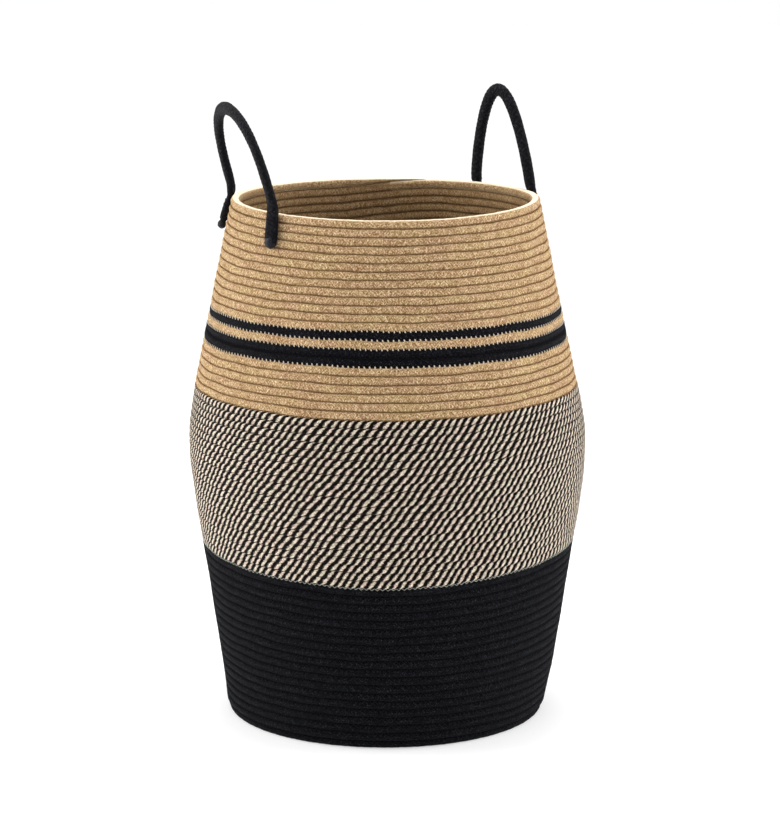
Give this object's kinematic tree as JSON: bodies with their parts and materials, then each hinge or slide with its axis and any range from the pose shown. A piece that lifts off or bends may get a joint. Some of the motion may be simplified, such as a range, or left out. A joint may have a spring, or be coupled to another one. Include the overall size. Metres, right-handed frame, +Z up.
{
  "type": "coiled rope laundry basket",
  "caption": "Tall barrel-shaped open laundry basket of sewn coiled rope, in tan, black and two-tone bands, with rope loop handles that fold.",
  "frame": {"origin": "middle of the base, on the surface that the basket stands on", "axes": "+Z up, -Y towards the front, +X to the right"},
  "size_m": [0.4899, 0.49, 0.7793],
  "materials": {
    "tan_rope": "braided, matte",
    "two_tone_rope": "twisted, matte",
    "black_rope": "braided, matte",
    "handle_rope": "braided, soft sheen",
    "tan_thread": "spun thread",
    "black_thread": "spun thread"
  },
  "bodies": {
    "basket": {"base_start": "black_rope", "base_coil": "black_rope", "base_seam": "black_thread", "black_coil": "black_rope", "two_tone_coil": "two_tone_rope", "lower_tan_coil": "tan_rope", "double_stripe_coil": "black_rope", "tan_stripe_coil": "tan_rope", "black_stripe_coil": "black_rope", "upper_tan_coil": "tan_rope", "rim_coil": "tan_rope", "black_seam": "black_thread", "two_tone_seam": "tan_thread", "tan_seam": "tan_thread", "left_front_leg": "handle_rope", "left_rear_leg": "handle_rope", "left_front_tip": "handle_rope", "left_rear_tip": "handle_rope", "left_front_stitches": "black_thread", "left_rear_stitches": "black_thread", "right_front_leg": "handle_rope", "right_rear_leg": "handle_rope", "right_front_tip": "handle_rope", "right_rear_tip": "handle_rope", "right_front_stitches": "black_thread", "right_rear_stitches": "black_thread"},
    "left_handle": {"left_loop": "handle_rope"},
    "right_handle": {"right_loop": "handle_rope"}
  },
  "joints": [
    {"name": "left_handle_fold", "type": "hinge", "parent": "basket", "child": "left_handle", "pos_m": [-0.16255, -0.05282, 0.6561], "axis": [0.309, -0.9511, 0], "range_deg": [-105.5, 99.5]},
    {"name": "right_handle_fold", "type": "hinge", "parent": "basket", "child": "right_handle", "pos_m": [0.1493, 0.1125, 0.6561], "axis": [-0.6018, 0.7986, 0], "range_deg": [-86, 119]}
  ]
}
